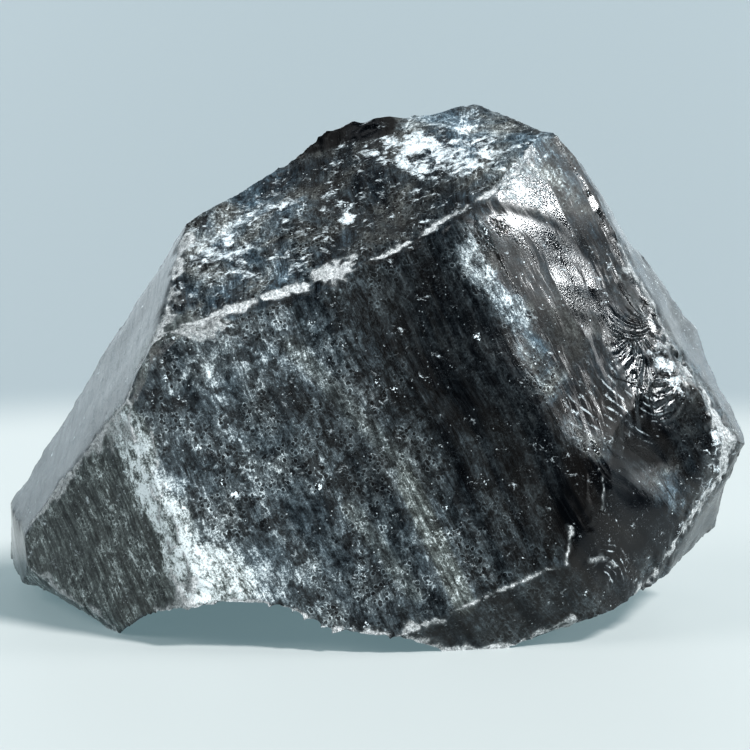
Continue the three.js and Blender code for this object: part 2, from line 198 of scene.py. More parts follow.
# Crushed stretches: how far each keeps white from the sharp edge, and how white it is.  A
# filled one is white along its own path instead.
CRUSHED = {
    "crest far left": dict(path=CREST[:2], width=0.6, white=0.95, filled=True),
    "crest left": dict(path=CREST[1:4], width=0.95, white=1, filled=True),
    "crest lump": dict(path=[(-6, -20.2, 58), (-3.5, -20.2, 59)], width=2.4, white=1, filled=True),
    "crest right": dict(path=CREST[3:8], width=0.66, white=1, filled=True),
    "crest end": dict(path=CREST[7:], width=0.5, white=0.95, filled=True),
    "left corner": dict(path=LEFT_CORNER, width=1.8, white=0.8),
    "heel top": dict(path=[(-41.8, -20.9, 32.6), (-38.5, -24, 32.5)], width=2.4, white=0.7,
        filled=True),
    "heel edge": dict(path=HEEL_EDGE, width=0.5, white=1),
    "heel foot": dict(path=[(-53.5, -11, 8), (-49.8, -14.7, 5.3), (-46, -17.5, 2.6), (-42, -19.4, 0.9)],
        width=0.8, white=0.9),
    "left edge": dict(path=LEFT_EDGE, width=0.95, white=0.95),
    "right edge": dict(path=RIGHT_EDGE[1:4], width=0.8, white=0.8),
    "right rim": dict(path=RIGHT_EDGE[3:], width=1.15, white=0.9, filled=True),
    "rim upper": dict(path=[(57.4, -11, 33.7), (59.1, -11.3, 29.5), (58, -11, 24.5)], width=2.3,
        white=0.85, filled=True),
    "rim lower": dict(path=[(58, -11, 24.5), (55, -14, 18.5), (52, -17, 14)], width=1.5, white=0.85,
        filled=True),
    "scar ring": dict(path=SCAR_RING, width=0.42, white=0.72, filled=True),
    "flank line": dict(path=[(36.6, -30.2, 28.2), (37.3, -30.4, 26), (37, -31, 21.9)], width=0.2,
        white=0.75, filled=True),
    "lower edge": dict(path=LOWER_EDGE, width=1.1, white=0.9),
    "scar line": dict(path=SCAR_LINE, width=0.45, white=1),
}

# Stretches broken into small rough facets.
ROUGH = {
    "top edge": dict(path=TOP_EDGE, reach=5, size=2.4, height=0.3),
    "left corner": dict(path=LEFT_CORNER, reach=4, size=1.7, height=0.35),
    "heel edge": dict(path=HEEL_EDGE[1:], reach=1.8, size=1.2, height=0.2),
    "crest": dict(path=CREST, reach=1.8, size=1.3, height=0.22),
    "lower edge": dict(path=LOWER_EDGE, reach=3, size=1.8, height=0.28),
    "right rim": dict(path=RIGHT_EDGE[3:], reach=4, size=1.7, height=0.5),
    "right edge": dict(path=RIGHT_EDGE[:4], reach=3, size=2.6, height=0.22),
    "fans": dict(path=[(44, -15.5, 49), (47, -16.5, 43.5), (43, -23, 39)], reach=6.5, size=2.6,
        height=0.22),
}

# Rings that spread from a blow: where it struck, the middle and reach of the face that they
# cross, their spacing and their height.
RINGS = {
    "shoulder": dict(struck=(22, -28, 47), middle=(33, -18, 60), reach=24, step=9, height=0.05),
    "ear": dict(struck=(30, -2, 80), middle=(47, -4, 50), reach=30, step=4.2, height=0.12),
    "low scar": dict(struck=(37, -34, 11), middle=(37, -33, 11), reach=6, step=1.7, height=0.14),
    "low face": dict(struck=(24, -37, 20), middle=(28, -35, 10), reach=14, step=3.4, height=0.06),
    "back": dict(struck=(30, 34, 60), middle=(6, 36, 46), reach=36, step=5.5, height=0.2, face="back"),
    "left behind": dict(struck=(-58, 16, 14), middle=(-42, 26, 34), reach=34, step=5, height=0.18,
        face="left behind"),
    "right behind": dict(struck=(56, 8, 40), middle=(48, 22, 30), reach=28, step=4, height=0.15,
        face="right behind"),
}

# Single arcs round a blow.
SHOULDER_ARC = dict(struck=(22, -25, 49), radius=20.9, middle=(26, -16, 67), reach=16, width=0.9,
                    depth=0.14)
FLANK_STEP = dict(struck=(52, -30, 34), radius=12.5, middle=(43, -25, 26), reach=9, width=0.6,
                  depth=0.2)

# Fans of fine ribs: where the blow struck, how far the ribs run, the angle between two ribs in
# radians and how much they curl.
FANS = {
    "upper": dict(struck=(47, -12.5, 50), middle=(42.5, -16, 50), reach=5, gap=0.24, curl=0.1),
    "middle": dict(struck=(43.5, -16.5, 48.5), middle=(43.5, -19, 43.5), reach=6.5, gap=0.24,
        curl=0.06),
    "lower": dict(struck=(46, -19, 43), middle=(42, -23.5, 37), reach=6.5, gap=0.24, curl=-0.07),
    "outer": dict(struck=(52, -14.5, 42), middle=(49, -18, 38), reach=5.5, gap=0.24, curl=0.08),
}

# Fine white arcs under the skin round a blow: where it struck, the place and reach of what
# shows, the gap between two arcs and how white they are.
WHITE_ARCS = {
    "scar": dict(struck=(36.5, -31.8, 8.6), middle=(38.8, -29.8, 12.6), reach=4.6, gap=1.1, white=0.6),
    "shoulder foot": dict(struck=(50, -13, 52), middle=(37.5, -26, 39), reach=9, gap=1.5, white=0.5),
    "fan foot": dict(struck=(48, -20, 44), middle=(45.5, -22, 35), reach=6, gap=1.1, white=0.45),
}

# Flow bands in the glass lie in planes with this normal, and their streaks run along them.
BAND_NORMAL = Vector((0.833, -0.245, 0.497)).normalized()
BAND_ALONG = Vector((0.443, -0.243, -0.863)).normalized()
BAND_ACROSS = BAND_NORMAL.cross(BAND_ALONG).normalized()


def strip(path, reach, amount, face=None):
    """A strip along a path: how far it reaches, how much it adds and the face that it stays on."""
    return dict(path=path, reach=reach, amount=amount, face=face)


# Cloudy places in the glass, and clear ones where the amount is below nothing.  Along the
# shoulder's bend three of them are partly a painted highlight.
CLOUDS = {
    "broad left": strip([(-24, -27, 36), (-17, -31, 24), (-20, -33, 14)], 15, 0.36),
    "broad low": strip([(-8, -34, 12), (8, -34, 14)], 12, 0.36),
    "broad upper left": strip([(-24, -23, 46), (-10, -25, 46)], 9, 0.42),
    "heel edge": strip([(-34.8, -28, 21), (-33.2, -29.8, 15), (-31.2, -31.7, 9)], 9.5, 2.3, "broad"),
    "heel edge top": strip([(-39, -23, 34.5), (-36.2, -25.8, 29.5), (-35, -27.5, 24)], 4.8, 1.15),
    "heel edge line": strip([(-35.2, -27.5, 24.7), (-32.3, -30.1, 19.4), (-29.8, -32.1, 11.8)], 2.3,
        1.35),
    "heel corner": strip([(-29, -32.4, 12), (-19, -34.5, 10)], 8.5, 0.55, "broad"),
    "clear middle": strip([(12, -24, 52), (19, -28, 42), (30, -32, 26)], 17, -0.25),
    "broad stripe": strip([(7, -31.7, 24.8), (12.3, -34.6, 14.2), (15.4, -36.5, 7.6)], 2.8, -0.1),
    "top edge": strip(TOP_EDGE[2:4], 5, -0.9),
    "top rim left": strip(TOP_EDGE[:2], 7, 0.45),
    "top left": strip([(-25, -9, 60), (-15, -6, 65)], 9, 0.52),
    "top low left": strip([(-25, -16, 54), (-12, -16, 58.5)], 7, 0.5),
    "top right": strip([(11, 5, 80), (19, -6, 77), (24, -11, 75)], 10, 0.62),
    "upper shoulder": strip([(25, -13, 72), (31, -11, 73)], 7, 0.35, "shoulder"),
    "clear flank": strip([(42, -26, 30), (38, -30, 20)], 12, -0.4),
    # Along the bend from the broad face into the shoulder, these three are partly fog and partly a
    # painted highlight where the bend catches the lamp.
    "shoulder highlight streak": strip([(15.6, -21.3, 60.9), (19.7, -22.5, 56.3), (24.5, -23.6, 50.7)], 3.4, 0.95),
    "shoulder mist and highlight": strip([(26.6, -25, 46.1), (29.5, -26.5, 41)], 4, 0.55),
    "lower mist and highlight": strip([(32.8, -28.5, 34.8), (36.9, -29.3, 30.8)], 3, 0.35),
    "flank mist": strip([(36.9, -29.3, 30.8), (41, -26.5, 27.5), (45.4, -22.8, 24.9), (49, -20, 22.5)],
        4.5, 0.42),
}

# Small white crystals in the glass, and how wide each is.
CRYSTALS = [
    dict(middle=(-26.4, -28.1, 31.2), width=0.8), dict(middle=(-20.7, -30.5, 24), width=0.9),
    dict(middle=(-7.4, -30.9, 25.3), width=0.75), dict(middle=(-0.8, -34.6, 13), width=0.7),
    dict(middle=(1.4, -26.6, 41.5), width=0.65), dict(middle=(4.5, -27.1, 40.3), width=0.5),
    dict(middle=(17.4, -25.3, 48.4), width=0.95), dict(middle=(-31.9, -24.8, 41.6), width=0.7),
]

# Places where the skin is duller or clearer than the rest of its face.
GLOSS = {
    "lower shoulder": strip([(31, -19, 57), (36, -21, 44)], 14, -0.45),
    "shoulder foot": strip([(31.5, -23.5, 45), (35, -24, 38)], 9, -1.3),
    "upper shoulder": strip([(21, -16, 67), (28, -14.5, 70)], 6, 0.2),
    "shoulder rim": strip([(28.2, -9.2, 76.6), (33, -9.9, 70.2), (36.2, -11, 65.4)], 6.5, -0.35),
    "flank mist": strip([(39, -28, 29), (44, -23.5, 26), (48, -20.5, 23.5)], 5.5, -0.7),
    "outer shoulder": strip([(37.5, -12.5, 61), (40, -14.5, 55)], 6, -0.8),
}

# Places under a thin even film of grey.
FILMS = {
    "heel edge": strip([(-33.5, -29.5, 18), (-31.2, -31.7, 10), (-24, -33.8, 9)], 10, 0.42, "broad"),
    "pale stripe": strip([(6.5, -31.2, 26), (12.3, -34.6, 14.2), (15.4, -36.5, 7.6)], 2.6, 0.45),
    "second stripe": strip([(-2.5, -31.8, 22), (7.7, -35.5, 9)], 2.6, 0.22),
    "upper stripe": strip([(-12, -24.5, 47), (5.5, -30.3, 29)], 2.8, 0.22),
    "left corner": strip([(-36, -19, 44), (-29.5, -20, 49)], 5, 0.25),
    "heel edge top": strip([(-39, -23, 34.5), (-36.2, -25.8, 29.5)], 6, 0.2),
}

# Places where the skin is frosted white in patches.  On the fans the white is partly painted glints.
SNOW = {
    "top right": strip([(10, -3, 76), (22, -9, 75.5)], 8, 0.48),
    "top middle": strip([(-4, 2, 75.5), (7, -1, 76.5)], 5, 0.4),
    "top left": strip([(-24, -8, 61), (-16, -3, 66)], 7, 0.2),
    "top low left": strip([(-22, -15, 56), (-12, -15, 60)], 5, 0.1),
    "top": strip([(-22, -10, 60), (10, -9, 70)], 18, 0.31, "top"),
    "top rim left": strip(TOP_EDGE[:2], 6, 0.08),
    "small patch": strip([(-3.6, -11.2, 66), (-2.8, -11.6, 65.6)], 1.6, 1),
    "heel edge": strip([(-34.4, -28, 22), (-32.4, -30.2, 16), (-31.2, -31.6, 10)], 3.6, 1, "broad"),
    # On the fans this white is partly frost and partly painted glints.
    "fans": strip([(47.5, -15, 43.5), (50, -15, 41)], 4, 0.6),
    "right rim": strip([(56, -10.5, 30), (55, -14, 22)], 5, 0.45),
    "back": strip([(20, 34, 40), (-8, 36, 24)], 12, 0.4),
}

# ---- The glass's own values -------------------------------------------------

# Soft patterns: the size of their lumps in millimetres, how many finer layers they have, how
# strong those are and how twisted they are.  drawn: how little one changes along the flow and
# across it.
PATTERNS = {
    "bend": dict(size=22.0, detail=2.0),
    "wide_bands": dict(size=5.0, detail=3.0, roughness=0.6, drawn=(0.07, 0.05)),
    "thin_bands": dict(size=1.1, detail=4.0, roughness=0.75, drawn=(0.07, 0.05)),
    "hair_bands": dict(size=0.5, detail=4.0, roughness=0.75, drawn=(0.12, 0.1)),
    "long_lines": dict(size=0.6, detail=3.0, roughness=0.65, drawn=(0.02, 0.02)),
    "frost": dict(size=1.2, detail=8.0, roughness=0.8, twist=0.3, drawn=(0.55, 0.55)),
    "patches": dict(size=9.0, detail=4.0, roughness=0.6, twist=0.5),
    "blots": dict(size=3.6, detail=3.0, roughness=0.6, twist=0.4),
    "grit": dict(size=0.32, detail=3.0, roughness=0.85),
    # The glints are drawn into the colour as painted highlights.
    "painted_glints": dict(size=0.3, detail=3.0, roughness=0.8),
    "flakes": dict(size=1.3, detail=6.0, roughness=0.72, twist=0.5),
    "crumbs": dict(size=0.6, detail=5.0, roughness=0.8),
    "sparkle": dict(size=0.28, detail=2.0, roughness=0.7),
}

# How far bands, white arcs and the outlines of crystals wander, in millimetres.
BAND_WANDER = 4.0
ARC_LINE_WANDER = 2.0
ARC_LINE_JITTER = 1.2
CRYSTAL_JITTER = 1.8
CRYSTAL_FINE_JITTER = 0.8

# Places pushed about at random: over what size, and by how much.
STIRRED = dict(size=1.0, amount=0.6)
JAGGED = dict(size=0.45, amount=2.2)

# Gaps between bubbles, small specks (partly painted glints) and larger flecks, and how the frost's
# flakes are squashed.
BUBBLE_GAP = 0.95
SPECK_GAP = 1.2
FLECK_GAP = 4.4
FLAKE_SHAPE = (0.55, 0.8, 0.9)

# Colours of the bare glass, its veil, its edges, marks and bruises, and how it bends light.  The
# marks' white is also the colour of the painted glints.
GLASS_BLACK = (0.0023, 0.0034, 0.0051, 1)
GLASS_BROWN = (0.0125, 0.0116, 0.0112, 1)
VEIL_BLUE = (0.185, 0.262, 0.318, 1)
VEIL_OLIVE = (0.248, 0.265, 0.258, 1)
VEIL_FILM = (0.236, 0.268, 0.261, 1)
VEIL_WHITE = (0.82, 0.88, 0.9, 1)
EDGE_GREY = (0.36, 0.4, 0.41, 1)
FROST_AND_GLINT_WHITE = (0.82, 0.9, 0.94, 1)
BRUISE_GREY = (0.42, 0.45, 0.46, 1)
BRUISE_WHITE = (0.92, 0.94, 0.95, 1)
REFRACTION = 1.49

# How rough plain glass is, what each thing adds to that, and the limits of the sum.
ROUGHNESS = dict(plain=0.34, dull=0.45, polish=-0.26, bands=0.9, veil=0.12, fan=-0.1, white=0.35)
ROUGHNESS_RANGE = (0.06, 0.9)

# Heights of the finest relief, in millimetres.
RELIEF = dict(sparkle=0.04, least_sparkle=0.006, lines=0.045, ribs=0.06, veil=0.03, crumbs=0.3,
              frost=0.04)

# ---- Stage values -----------------------------------------------------------

FLOOR_RADIUS = 30.0
# The floor is painted lighter near the chunk than far away, a painted pool of light, and it glows a
# little to lift its shadows, which is painted light too.
FLOOR_NEAR_PAINTED_LIGHT = (0.335, 0.323, 0.313, 1)
FLOOR_FAR = (0.175, 0.173, 0.181, 1)
FLOOR_SHADOW_LIFT_GLOW = (0.13, 0.185, 0.2, 1)
FLOOR_EDGE = (0.19, 0.27)
FLOOR_ROUGHNESS = 0.6
FLOOR_SHINE = 0.3
ROOM_PALE = (0.48, 0.59, 0.65, 1)
ROOM_DARK = (0.02, 0.026, 0.032, 1)
ROOM_DEPTHS = (-0.1, 0.6)
ROOM_HEIGHTS = (0.6, 0.25)
# Each lamp by where it shines from, how many degrees wide it looks and how strongly it lights.
LAMPS = {
    "key": dict(heading=61, lean=48, width=11, strength=3.8),
    "side": dict(heading=96, lean=23, width=12, strength=0.9),
    "front left": dict(heading=-70, lean=38, width=34, strength=0.9),
    "overhead": dict(heading=-155, lean=62, width=24, strength=0.07),
    "left wall": dict(heading=-150, lean=10, width=50, strength=0.3),
    "right wall": dict(heading=148, lean=14, width=50, strength=0.31),
    "front low": dict(heading=-30, lean=12, width=20, strength=0.15),
}
LAMP_TINT = (0.965, 0.99, 1.0)
SENSOR = 36.0
LENS = 151.8
CAMERA_LEAN = 8.0
CAMERA_AWAY = 0.52
CAMERA_AIM = (0.00135, -0.00539, 0.0395)
CAMERA_NEAR = 0.01


def facing(heading, lean):
    """The direction that looks toward a heading and leans up, both in degrees."""
    turn = math.radians(heading)
    rise = math.radians(lean)
    level = math.cos(rise)
    return Vector((level * math.sin(turn), -level * math.cos(turn), math.sin(rise)))


# ---- Modelling tools --------------------------------------------------------


def only(piece):
    """Makes a piece the only one selected and the active one."""
    bpy.ops.object.select_all(action="DESELECT")
    piece.select_set(True)
    bpy.context.view_layer.objects.active = piece


def merged_copy(node, name):
    """A copy of a CAD node's mesh as a new piece, with its loose triangles joined up."""
    piece = bpy.data.objects.new(name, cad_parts[node].data.copy())
    bpy.context.scene.collection.objects.link(piece)
    only(piece)
    bpy.ops.object.mode_set(mode="EDIT")
    bpy.ops.mesh.select_all(action="SELECT")
    bpy.ops.mesh.remove_doubles(threshold=MM * 0.001)
    bpy.ops.object.mode_set(mode="OBJECT")
    return piece


def numbers_of(things, what, wide, kind=float):
    """A row of numbers from each vertex, edge, corner or polygon of a mesh."""
    flat = np.empty(len(things) * wide, kind)
    things.foreach_get(what, flat)
    return flat.reshape(-1, wide)


def points_of(mesh):
    """The mesh's vertices in millimetres."""
    return numbers_of(mesh.vertices, "co", 3) / MM


def put_points(mesh, points):
    """Moves the mesh's vertices to these points in millimetres."""
    mesh.vertices.foreach_set("co", (points * MM).ravel())
    mesh.update()


def normals_of(mesh):
    return numbers_of(mesh.vertex_normals, "vector", 3)


def edges_of(mesh):
    return numbers_of(mesh.edges, "vertices", 2, int)


def neighbour_mean(values, edges):
    """Each vertex's mean over its neighbours."""
    total = np.zeros_like(values)
    count = np.bincount(edges.ravel(), minlength=len(values)).astype(float)
    for one, other in ((0, 1), (1, 0)):
        for axis in range(values.shape[1]):
            total[:, axis] += np.bincount(edges[:, one], values[edges[:, other], axis], len(values))
    return total / count[:, None]


def ridge_points(mesh):
    """Points along the sharp edges of a mesh, in millimetres."""
    skin = bmesh.new()
    skin.from_mesh(mesh)
    found = []
    for edge in skin.edges:
        if math.degrees(edge.calc_face_angle_signed(0)) > RIDGE_ANGLE:
            start, end = (vert.co / MM for vert in edge.verts)
            steps = max(int((end - start).length / RIDGE_STEP), 1)
            for i in range(steps + 1):
                found.append(start.lerp(end, i / steps))
    skin.free()
    return found


def tree_of(points):
    tree = kdtree.KDTree(len(points))
    for i, point in enumerate(points):
        tree.insert(point, i)
    tree.balance()
    return tree


def blurred(values, edges, rounds):
    """Values evened out between neighbours, round after round."""
    for _ in range(rounds):
        values = 0.5 * values + 0.5 * neighbour_mean(values, edges)
    return values


# ---- The chunk's skin -------------------------------------------------------


def even_skin(piece):
    """Remakes the piece's skin from small even faces."""
    only(piece)
    remesh = piece.modifiers.new("even skin", "REMESH")
    remesh.mode = "VOXEL"
    remesh.voxel_size = VOXEL * MM
    bpy.ops.object.modifier_apply(modifier=remesh.name)


def fade(values, near, far):
    """1 up to near, 0 beyond far, smooth between."""
    t = np.clip((far - values) / (far - near), 0, 1)
    return t * t * (3 - 2 * t)


def nearest(points, tree):
    """The nearest point of a tree to each point, and how far away it is."""
    found = [tree.find(point) for point in points]
    places = np.array([place[:] for place, index, away in found])
    aways = np.array([away for place, index, away in found])
    return places, aways


def waves(points, size, seed):
    """Soft noise between about -1 and 1 with hills of this size in millimetres."""
    spots = points / size + seed * WAVE_SHIFT
    return np.array([noise.noise(spot) for spot in spots])


def layered(points, layers, level=0.0):
    """Layers of soft noise added to a level."""
    total = np.full(len(points), level)
    for layer in layers:
        total += layer["height"] * waves(points, layer["size"], layer["seed"])
    return total


def facets(points, size, seed):
    """Small tilted flats of about this size, each with a depth of its own."""
    spots = points / size + seed * FACET_SHIFT
    middles = [noise.voronoi(spot)[1][0] for spot in spots]
    tilts = np.array([noise.cell_vector(middle * FACET_DRAW)[:] for middle in middles])
    offs = spots - np.array([middle[:] for middle in middles])
    depths = tilts[:, 0] + (offs * (tilts - 0.5)).sum(axis=1) * FACET_TILT
    return np.clip(depths, 0, FACET_MOST)


def ease_faces(piece, tree):
    """Draws points onto the sharp edges, then smooths the faces between them."""
    mesh = piece.data
    points = points_of(mesh)
    places, aways = nearest(points, tree)
    caught = aways < SNAP_REACH
    points[caught] = places[caught]
    edges = edges_of(mesh)
    loose = 1 - fade(aways, SNAP_REACH, RIDGE_HOLD)
    on_ground = points[:, 2] < GROUND
    loose[on_ground] = 0
    for _ in range(SMOOTH_ROUNDS):
        points += (SMOOTH_SHARE * loose)[:, None] * (neighbour_mean(points, edges) - points)
    put_points(mesh, points)


def face_shares(piece):
    """For each vertex, the broken face that it belongs to, as a share of each face."""
    mesh = piece.data
    edges = edges_of(mesh)
    looks = blurred(normals_of(mesh), edges, FACE_BLUR_ROUNDS)
    directions = np.array([facing(face["heading"], face["lean"]) for face in FACES.values()])
    best = (looks @ directions.T).argmax(axis=1)
    return blurred(np.eye(len(FACES))[best], edges, FACE_BLUR_ROUNDS)


def face_value(shares, name):
    """What the faces give to each vertex under this name."""
    return shares @ np.array([face[name] for face in FACES.values()])


def path_aways(points, path):
    """How far each point is from a path."""
    corners = np.array(path, float)
    aways = np.full(len(points), np.inf)
    for start, end in zip(corners, corners[1:]):
        run = end - start
        share = np.clip((points - start) @ run / (run @ run), 0, 1)
        off = points - start - share[:, None] * run
        aways = np.minimum(aways, np.sqrt((off * off).sum(axis=1)))
    return aways


def near_path(points, path, reach):
    """1 along a path, falling to 0 at its reach."""
    return fade(path_aways(points, path), reach * PATH_CORE, reach)


def distance(points, spot):
    return np.linalg.norm(points - np.array(spot), axis=1)


def near_spot(points, thing):
    """1 round a thing's middle, falling to 0 at its reach."""
    return fade(distance(points, thing["middle"]), thing["reach"] * SPOT_CORE, thing["reach"])


def crushed_shares(points, aways):
    """How crushed the skin is at each vertex, 0 to 1."""
    ragged = np.clip(layered(points, RAGGED, 1.0), *RAGGED_RANGE)
    crushed = np.zeros(len(points))
    for stretch in CRUSHED.values():
        off = path_aways(points, stretch["path"])
        along = off < CRUSH_ALONG + CRUSH_ALONG_WIDTHS * stretch["width"]
        from_edge = off if "filled" in stretch else aways
        band = fade(from_edge / (stretch["width"] * ragged), *CRUSH_BORDER)
        crushed = np.maximum(crushed, stretch["white"] * along * band)
    return crushed


def on_face(shares, thing):
    """1 where a thing may be: all over, or only on the face that it names."""
    face = thing.get("face")
    return 1.0 if face is None else shares[:, list(FACES).index(face)]


def spot_sum(points, shares, spots):
    """The amounts of all the places that each vertex lies in."""
    total = np.zeros(len(points))
    for place in spots.values():
        near = near_path(points, place["path"], place["reach"])
        total += place["amount"] * near * on_face(shares, place)
    return total


def edge_depths(points, aways, crushed):
    """How deep the nicks, the rough facets and the crushed stretches are."""
    depth = np.zeros(len(points))
    hurt = crushed > 0
    depth[hurt] = CRUSH_DEPTH * crushed[hurt] * facets(points[hurt], CRUMB, CRUMB_SEED)
    for turn, nick in enumerate(NICKS):
        size = nick["size"]
        rim = fade(aways, NICK_RIM[0] * size, NICK_RIM[1] * size)
        hit = rim > 0
        spots = points[hit]
        patchy = NICK_SWING * waves(spots, size * NICK_PATCH, turn + NICK_PATCH_SEED)
        chosen = np.clip(nick["share"] + patchy, 0, 1)
        depth[hit] += rim[hit] * chosen * nick["depth"] * facets(spots, size, turn + NICK_SEED)
    for turn, rough in enumerate(ROUGH.values()):
        size = rough["size"]
        near = near_path(points, rough["path"], rough["reach"])
        hit = near > 0
        spots = points[hit]
        broken = facets(spots, size, turn + ROUGH_SEED)
        broken += ROUGH_FINE_HEIGHT * facets(spots, size * ROUGH_FINE, turn + ROUGH_FINE_SEED)
        depth[hit] += rough["height"] * near[hit] * broken
    return depth


def arc_shares(points, arc):
    """1 along an arc, falling to 0 beside it."""
    off = distance(points, arc["struck"]) - arc["radius"] + layered(points, ARC_WANDER)
    return near_spot(points, arc) * np.exp(-(off / arc["width"]) ** 2)


def ripple_depths(points, shares):
    """How deep the streaks, rings and arcs are."""
    band = points @ np.array(BAND_NORMAL)
    along = points @ np.array(BAND_ALONG)
    across = points @ np.array(BAND_ACROSS)
    drawn = np.stack([band, along * STREAK_ALONG, across * STREAK_ACROSS], axis=1)
    depth = face_value(shares, "hackle") * layered(drawn, STREAKS)
    for ring in RINGS.values():
        step = ring["step"]
        near = near_spot(points, ring) * on_face(shares, ring)
        wander = step * RING_WANDER * waves(points, step * RING_WANDER_SIZE, RING_SEED)
        travelled = distance(points, ring["struck"]) + wander
        depth += ring["height"] * near * np.abs(np.sin(np.pi * travelled / step))
    for arc in (SHOULDER_ARC, FLANK_STEP):
        depth += arc["depth"] * arc_shares(points, arc)
    return depth


def fan_shares(points, normals):
    """How strongly each vertex lies in a fan of ribs, and its place across the ribs."""
    share = np.zeros(len(points))
    count = np.zeros(len(points))
    for fan in FANS.values():
        near = near_spot(points, fan)
        out = (Vector(fan["middle"]) - Vector(fan["struck"])).normalized()
        looks = Vector(normals[near > FAN_MIDDLE].mean(axis=0)).normalized()
        side = looks.cross(out).normalized()
        off = points - np.array(fan["struck"])
        turned = np.arctan2(off @ np.array(side), off @ np.array(out))
        ribs = (turned + fan["curl"] * np.linalg.norm(off, axis=1)) / fan["gap"]
        ribs += layered(points, RIB_WANDER)
        here = near > share
        share[here] = near[here]
        count[here] = ribs[here]
    return share, count


def carve(piece, tree):
    """Cuts the nicks, crushed stretches, ripples and fans into the skin."""
    mesh = piece.data
    points = points_of(mesh)
    normals = normals_of(mesh)
    aways = nearest(points, tree)[1]
    share, count = fan_shares(points, normals)
    depth = edge_depths(points, aways, crushed_shares(points, aways))
    depth += ripple_depths(points, face_shares(piece))
    depth += share * RIB_HEIGHT * np.abs(np.sin(np.pi * count / 2))
    depth[points[:, 2] < GROUND] = 0
    moved = points - normals * depth[:, None]
    edges = edges_of(mesh)
    loose = np.where(points[:, 2] < GROUND, 0, CARVE_SOFTEN)[:, None]
    for _ in range(CARVE_SOFTEN_ROUNDS):
        moved += loose * (neighbour_mean(moved, edges) - moved)
    moved[:, 2] = np.maximum(moved[:, 2], 0)
    put_points(mesh, moved)


def thin_out(piece):
    """Joins small faces where the skin is flat, until few enough are left."""
    only(piece)
    triangles = sum(len(face.vertices) - 2 for face in piece.data.polygons)
    thin = piece.modifiers.new("thin out", "DECIMATE")
    thin.ratio = min(MOST_TRIANGLES / triangles, 1.0)
    bpy.ops.object.modifier_apply(modifier=thin.name)


def keep(piece, name, values):
    """Stores one number per vertex under a name that materials can read."""
    attribute = piece.data.attributes.new(name, "FLOAT", "POINT")
    attribute.data.foreach_set("value", values.astype(np.float32))


def mark(piece, tree):
    """Stores what each part of the skin is like, for the glass to read."""
    points = points_of(piece.data)
    aways = nearest(points, tree)[1]
    shares = face_shares(piece)
    share, count = fan_shares(points, normals_of(piece.data))
    gloss = face_value(shares, "polish") + spot_sum(points, shares, GLOSS)
    gloss = gloss - ARC_DULL * arc_shares(points, SHOULDER_ARC)
    # The haze also carries the painted highlight along the shoulder's bend.
    haze = face_value(shares, "haze") + spot_sum(points, shares, CLOUDS)
    keep(piece, "polish", np.clip(gloss, *POLISH_RANGE))
    keep(piece, "haze", np.clip(haze, *HAZE_RANGE))
    # The snow also carries painted glints on the fans.
    keep(piece, "snow", np.clip(spot_sum(points, shares, SNOW), *SNOW_RANGE))
    keep(piece, "grain", face_value(shares, "grain"))
    keep(piece, "crushed", crushed_shares(points, aways))
    keep(piece, "film", face_value(shares, "film") + spot_sum(points, shares, FILMS))
    keep(piece, "fan", share)
    keep(piece, "rib", count)


def packed(sizes, widest):
    """Places for oblongs in rows no wider than this, tallest first, and the square they need."""
    places = {}
    across = up = row = 0.0
    for tall, wide, index in sorted(sizes, reverse=True):
        if across + wide > widest:
            up += row + MAP_GAP
            across = row = 0.0
        places[index] = (across, up)
        across += wide + MAP_GAP
        row = max(row, tall)
    return places, max(widest, up + row)


def corner_faces(piece):
    """The vertex at each corner of the mesh's polygons, and the broken face it belongs to."""
    mesh = piece.data
    shares = blurred(face_shares(piece), edges_of(mesh), MAP_BLUR_ROUNDS)
    corners = numbers_of(mesh.loops, "vertex_index", 1, int).ravel()
    counts = numbers_of(mesh.polygons, "loop_total", 1, int).ravel()
    firsts = np.cumsum(counts) - counts
    return corners, np.repeat(shares.argmax(axis=1)[corners[firsts]], counts)


def lay_flat(piece):
    """Gives the skin a map of its own: each broken face laid flat, all of them side by side."""
    corners, owners = corner_faces(piece)
    spots = points_of(piece.data)[corners]
    flat = np.zeros((len(corners), 2))
    sizes = []
    for index, face in enumerate(FACES.values()):
        mine = owners == index
        if mine.any():
            looks = facing(face["heading"], face["lean"])
            side = looks.orthogonal().normalized()
            flat[mine] = spots[mine] @ np.array((side, looks.cross(side))).T
            flat[mine] -= flat[mine].min(axis=0)
            wide, tall = flat[mine].max(axis=0)
            sizes.append((tall, wide, index))
    widest = int(max(wide for tall, wide, index in sizes)) + 1
    tries = [packed(sizes, width) for width in range(widest, MAP_TRY_MOST * widest, MAP_TRY_STEP)]
    places, size = min(tries, key=lambda found: found[1])
    for index, place in places.items():
        flat[owners == index] += np.array(place) + MAP_GAP / 2
    layer = piece.data.uv_layers.new(name="OFBake")
    layer.data.foreach_set("uv", (flat / (size + MAP_GAP)).ravel())


def make_chunk():
    """The whole chunk, from the solid to its finished skin."""
    chunk = merged_copy("stone", "chunk")
    tree = tree_of(ridge_points(chunk.data))
    even_skin(chunk)
    ease_faces(chunk, tree)
    carve(chunk, tree)
    thin_out(chunk)
    mark(chunk, tree)
    lay_flat(chunk)
    only(chunk)
    bpy.ops.object.shade_smooth_by_angle(angle=math.radians(SHADE_ANGLE))
    return chunk


# ---- Material tools ---------------------------------------------------------


